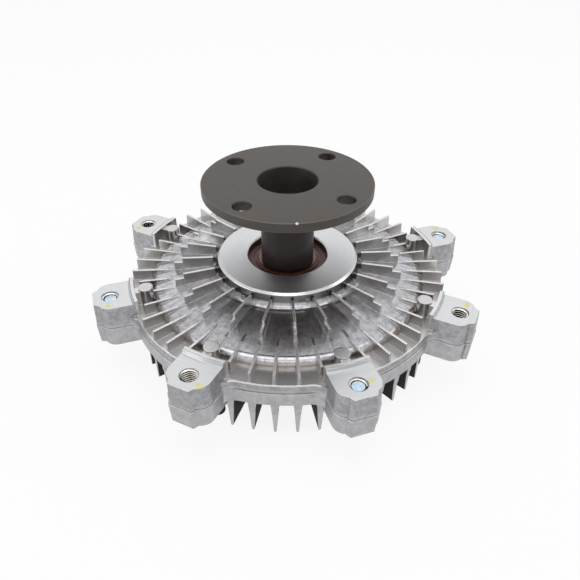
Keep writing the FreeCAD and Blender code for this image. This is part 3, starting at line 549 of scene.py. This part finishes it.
def moulded_rubber(name, low, high):
    """Moulded nitrile rubber: an even satin skin with a faint bloom and a fine grain."""
    material, tree, shader = new_material(name)
    node = partial(add, tree)
    point = point_mm(tree)
    bloom = node("TexNoise", {"Vector": point, "Scale": 1.0 / 4.0, "Detail": 3.0})[0]
    fine = node("TexNoise", {"Vector": point, "Scale": 1.0 / 0.3, "Detail": 2.0})[0]
    cloud = node("MapRange", {0: bloom, 1: 0.35, 2: 0.7})[0]
    colour = node("Mix", {0: cloud, 6: linear(low), 7: linear(high)}, data_type="RGBA")[2]
    gloss = node("MapRange", {0: bloom, 1: 0.3, 2: 0.7, 3: 0.36, 4: 0.48})[0]
    relief = node("Math", {0: fine, 1: 0.012}, operation="MULTIPLY")[0]
    bumped = node("Bump", {"Height": relief, "Distance": MM})[0]
    feed(tree, shader, {"Base Color": colour, "Roughness": gloss, "Normal": bumped})
    return material


def marker_paint():
    """Inspection dabs from a paint marker: thin pale yellow, patchy where the cut metal shows through."""
    material, tree, shader = new_material("yellow_marker_paint")
    node = partial(add, tree)
    point = point_mm(tree)
    patch = node("TexNoise", {"Vector": point, "Scale": 1.0 / 1.1, "Detail": 4.0})[0]
    thin = node("MapRange", {0: patch, 1: 0.38, 2: 0.66})[0]
    colour = node("Mix", {0: thin, 6: linear("#D8D27C"), 7: linear("#DEDCB6")}, data_type="RGBA")[2]
    gloss = node("MapRange", {0: patch, 1: 0.3, 2: 0.7, 3: 0.45, 4: 0.65})[0]
    feed(tree, shader, {"Base Color": colour, "Roughness": gloss})
    return material


def mesh_piece(name, points, faces, material, body):
    """A smooth mesh piece, which moves with a body, or with none is left unattached."""
    mesh = bpy.data.meshes.new(name)
    mesh.from_pydata(points, [], faces)
    mesh.update()
    for face in mesh.polygons:
        face.use_smooth = True
    mesh.set_sharp_from_angle(angle=math.radians(40.0))
    piece = bpy.data.objects.new(name, mesh)
    bpy.context.scene.collection.objects.link(piece)
    mesh.materials.append(material)
    if body:
        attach(piece, body)
    return piece


def coil_turns(first, last):
    """Centre line of a run of the coil's half turns, which grow about two centres side by side."""
    path = []
    for turn in range(first, last):
        radius = coil_start_r + (turn + 0.5) * coil_pitch / 2.0
        side = 1.0 if turn % 2 == 0 else -1.0
        middle = -side * coil_pitch / 4.0
        for i in range(1 if path else 0, coil_steps + 1):
            angle = math.pi * i / coil_steps
            path.append((middle + side * radius * math.cos(angle), side * radius * math.sin(angle)))
    return path


def strip_piece(name, path, body):
    """A length of the bimetal strip, standing on edge along its centre line, with closed ends."""
    path = [Vector(spot) for spot in path]
    low, high = (corner[2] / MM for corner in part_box("bimetal_coil"))
    points = []
    faces = []
    for i, spot in enumerate(path):
        before = (spot - path[i - 1]).normalized() if i else (path[1] - spot).normalized()
        after = (path[i + 1] - spot).normalized() if i + 1 < len(path) else before
        ahead = (before + after).normalized()
        reach = coil_half_t / ahead.dot(before)
        out = Vector((-ahead.y, ahead.x)) * reach
        for place, level in ((spot + out, low), (spot + out, high), (spot - out, high), (spot - out, low)):
            points.append(Vector((place.x, place.y, level)) * MM)
        if i:
            a = 4 * i - 4
            faces += [(a + k, a + (k + 1) % 4, a + 4 + (k + 1) % 4, a + 4 + k) for k in range(4)]
    last = len(points) - 4
    faces += [(0, 3, 2, 1), (last, last + 1, last + 2, last + 3)]
    piece = mesh_piece(name, points, faces, finishes["bimetal"], body)
    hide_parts("bimetal_coil")
    return piece


def thread_piece(name, centre, low, high, material):
    """The V-shaped ridge of an inner thread, wound up the wall of a hole and cut back by its countersink."""
    wall = hole_r - wall_gap
    sides = [
        (-0.5, wall),
        (-thread_root, wall),
        (-thread_crest, thread_minor_r),
        (thread_crest, thread_minor_r),
        (thread_root, wall),
        (0.5, wall),
    ]
    parts = thread_parts
    turns = (high - low - thread_pitch) / thread_pitch
    steps = max(1, int(turns * thread_steps))
    points = []
    faces = []
    for (start, start_r), (end, end_r) in zip(sides, sides[1:]):
        first = len(points)
        for i in range(steps + 1):
            angle = TAU * i / thread_steps
            ray = Vector((math.cos(angle), math.sin(angle), 0))
            for k in range(parts + 1):
                share = k / parts
                level = low + thread_pitch * (0.5 + i / thread_steps + start + (end - start) * share)
                cone = mouth_r - (pad_top - level)
                radius = min(wall, max(start_r + (end_r - start_r) * share, cone))
                points.append((centre + ray * radius + Vector((0, 0, level))) * MM)
        for i in range(steps):
            for k in range(parts):
                a = first + i * (parts + 1) + k
                b = a + parts + 1
                faces.append((a, a + 1, b + 1, b))
    return mesh_piece(name, points, faces, material, "housing")


def ear_point(index, along, out, height):
    """A point on an ear, from how far it lies to the ear's side, counter-clockwise, and from the axis."""
    angle = math.radians(first_ear + index * ear_pitch)
    x_axis = Vector((math.cos(angle), math.sin(angle), 0))
    y_axis = Vector((-math.sin(angle), math.cos(angle), 0))
    return x_axis * out + y_axis * along + Vector((0, 0, height))


def paint_piece(name, ear, along, out, size, seed, material):
    """A dab of paint with an uneven edge, lying on an ear's pad and ending at its round corner."""
    chance = random.Random(seed)
    waves = [(chance.uniform(0.04, 0.14), chance.randint(2, 6), chance.uniform(0, TAU)) for _ in range(4)]
    points = [ear_point(ear, along, out, pad_top + dab_lift) * MM]
    for share, rise in ((dab_crown, dab_lift), (1.0, dab_edge_lift)):
        for i in range(dab_corners):
            angle = TAU * i / dab_corners
            reach = size * share * (1.0 + sum(a * math.sin(k * angle + s) for a, k, s in waves))
            spot = Vector((along + dab_stretch * reach * math.cos(angle), out + reach * math.sin(angle)))
            corner = Vector((math.copysign(ear_corner_at, along), ear_r))
            past = spot - corner
            if past.y > 0 and past.length > ear_corner_r:
                spot = corner + past * (ear_corner_r / past.length)
            spot.x = max(-ear_side, min(ear_side, spot.x))
            points.append(ear_point(ear, spot.x, spot.y, pad_top + rise) * MM)
    faces = []
    for i in range(dab_corners):
        j = (i + 1) % dab_corners
        faces.append((0, 1 + i, 1 + j))
        faces.append((1 + i, 1 + dab_corners + i, 1 + dab_corners + j, 1 + j))
    return mesh_piece(name, points, faces, material, "housing")


def make_camera():
    """The photograph's view: 37 degrees above the ears' plane, from the front."""
    lens_px = 557.5
    frame_px = 580.0
    sensor = 36.0
    rise = math.radians(37.20)
    roll = math.radians(0.40)
    place = Vector((1.5, -253.9, 216.4)) * MM
    back = Vector((0, -math.cos(rise), math.sin(rise)))
    level = Vector((1, 0, 0))
    upright = Vector((0, math.sin(rise), math.cos(rise)))
    right = level * math.cos(roll) + upright * math.sin(roll)
    up = upright * math.cos(roll) - level * math.sin(roll)
    data = bpy.data.cameras.new("camera")
    data.sensor_width = sensor
    data.lens = lens_px * sensor / frame_px
    data.clip_start = 0.01
    data.clip_end = 20.0
    camera = bpy.data.objects.new("camera", data)
    camera.matrix_world = Matrix.Translation(place) @ Matrix((right, up, back)).transposed().to_4x4()
    bpy.context.scene.collection.objects.link(camera)
    bpy.context.scene.camera = camera


def soft_box(name, place, target, width, height, watts):
    """A soft lamp of that width and height, aimed at a point."""
    data = bpy.data.lights.new(name, "AREA")
    data.shape = "RECTANGLE"
    data.size = width
    data.size_y = height
    data.energy = watts
    lamp = bpy.data.objects.new(name, data)
    lamp.location = place
    lamp.rotation_mode = "QUATERNION"
    lamp.rotation_quaternion = (Vector(target) - Vector(place)).to_track_quat("-Z", "Y")
    bpy.context.scene.collection.objects.link(lamp)


def make_floor():
    """A white table that keeps a faint shadow, white to the eye, and clear from below."""
    span = 4.0
    drop = 0.0002
    glow_share = 0.88
    mesh = bpy.data.meshes.new("floor")
    corners = [(-span, -span, -drop), (span, -span, -drop), (span, span, -drop), (-span, span, -drop)]
    mesh.from_pydata(corners, [], [(0, 1, 2, 3)])
    floor = bpy.data.objects.new("floor", mesh)
    bpy.context.scene.collection.objects.link(floor)
    material, tree, shader = new_material("white_table")
    node = partial(add, tree)
    feed(tree, shader, {"Base Color": linear("#F4F4F4"), "Roughness": 0.9})
    share = node("Math", {0: white_to_eye(tree), 1: glow_share}, operation="MULTIPLY")[0]
    white = node("Emission", {"Strength": 1.0})[0]
    both = node("MixShader", {0: share, 1: shader.outputs[0], 2: white})[0]
    below = node("NewGeometry")["Backfacing"]
    clear = node("BsdfTransparent")[0]
    one_sided = node("MixShader", {0: below, 1: both, 2: clear})[0]
    tree.links.new(one_sided, tree.nodes["Material Output"].inputs["Surface"])
    mesh.materials.append(material)
    floor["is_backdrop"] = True


def make_studio():
    """A pale room, white to the eye, with a soft box overhead, in front, behind, and low at each side."""
    world = bpy.data.worlds.new("studio")
    bpy.context.scene.world = world
    world.use_nodes = True
    tree = world.node_tree
    node = partial(add, tree)
    coords = node("TexCoord")
    parts = node("SeparateXYZ", {0: coords["Generated"]})
    overhead = node("MapRange", {0: parts[2], 1: 0.0, 2: 0.8})[0]
    shade = node("Mix", {0: overhead, 6: linear("#BEBEC0"), 7: linear("#D4D4D6")}, data_type="RGBA")[2]
    white = linear("#FFFFFF")
    backdrop = node("Mix", {0: white_to_eye(tree), 6: shade, 7: white}, data_type="RGBA")[2]
    tree.links.new(backdrop, tree.nodes["Background"].inputs["Color"])
    target = (0, 0, 0.04)
    lamps = [
        # name, place, width, height and watts
        ("box_above", (0.0, 0.0, 1.0), 1.1, 0.6, 2.7),
        ("box_front", (0.0, -0.85, 1.05), 0.9, 0.25, 1.2),
        ("box_behind", (0.0, 1.0, 0.85), 1.4, 0.5, 0.8),
        ("box_left", (-0.95, -0.4, 0.27), 0.6, 0.45, 2.0),
        ("box_right", (1.0, 0.0, 0.45), 0.4, 0.6, 1.1),
    ]
    for name, place, width, height, watts in lamps:
        soft_box(name, place, target, width, height, watts)


bpy.context.scene.view_settings.view_transform = "Standard"
make_camera()
make_floor()
make_studio()

finishes = {
    "cast_aluminium": die_cast_aluminium(),
    "dark_steel": phosphated_steel(),
    "bearing_steel": turned_metal("ground_bearing_steel", "#4E3C33", "#6E564B", 0.26),
    "seal_rubber": moulded_rubber("red_brown_nitrile", "#4F241C", "#663226"),
    "black_rubber": moulded_rubber("black_nitrile", "#151515", "#222222"),
    "cage_steel": turned_metal("pressed_steel", "#9A958E", "#B0ABA4", 0.35),
    "zinc_steel": blue_zinc(),
    "spring_steel": turned_metal("oiled_spring_steel", "#3A3A3D", "#55555A", 0.4),
    "rotor_aluminium": turned_metal("turned_aluminium", "#C4C4C6", "#DADADC", 0.3),
    "bimetal": turned_metal("rolled_bimetal_strip", "#B7A98C", "#C9BFA8", 0.33),
}
slot_of = {s["node"]: s["material_slot"] for s in frame["record"]["subparts"]}
for name, node in nodes.items():
    node.data.materials.clear()
    node.data.materials.append(finishes[slot_of[name]])

# The coil winds with its rod: its hooked turn goes with the rod, the next half turn, which gives, is left on
# no body, and the rest stays
strip_piece("coil_hooked_turn", [(-coil_tongue, 0.0)] + coil_turns(0, 1), "valve")
giving_turn = strip_piece("coil_giving_turn", coil_turns(1, 2), None)
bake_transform(giving_turn)
outer_path = coil_turns(2, coil_half_turns)
end_x, end_y = outer_path[-1]
strip_piece("coil_outer_turns", outer_path + [(end_x, end_y + coil_leg)], "housing")

tapped = tapped_aluminium()
for k in range(ear_count):
    middle = ear_point(k, 0.0, ear_r, 0.0)
    open_hole = k % 2 == 0
    low = pad_top - hole_len - thread_run_out if open_hole else bolt_tip - thread_behind_bolt
    thread_piece("ear_thread_%d" % (k + 1), middle, low, pad_top - thread_inset, tapped)

yellow = marker_paint()
for number, (ear, along, out, size) in enumerate(dabs):
    paint_piece("paint_dab_%d" % (number + 1), ear, along, out, size, number, yellow)

low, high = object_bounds()
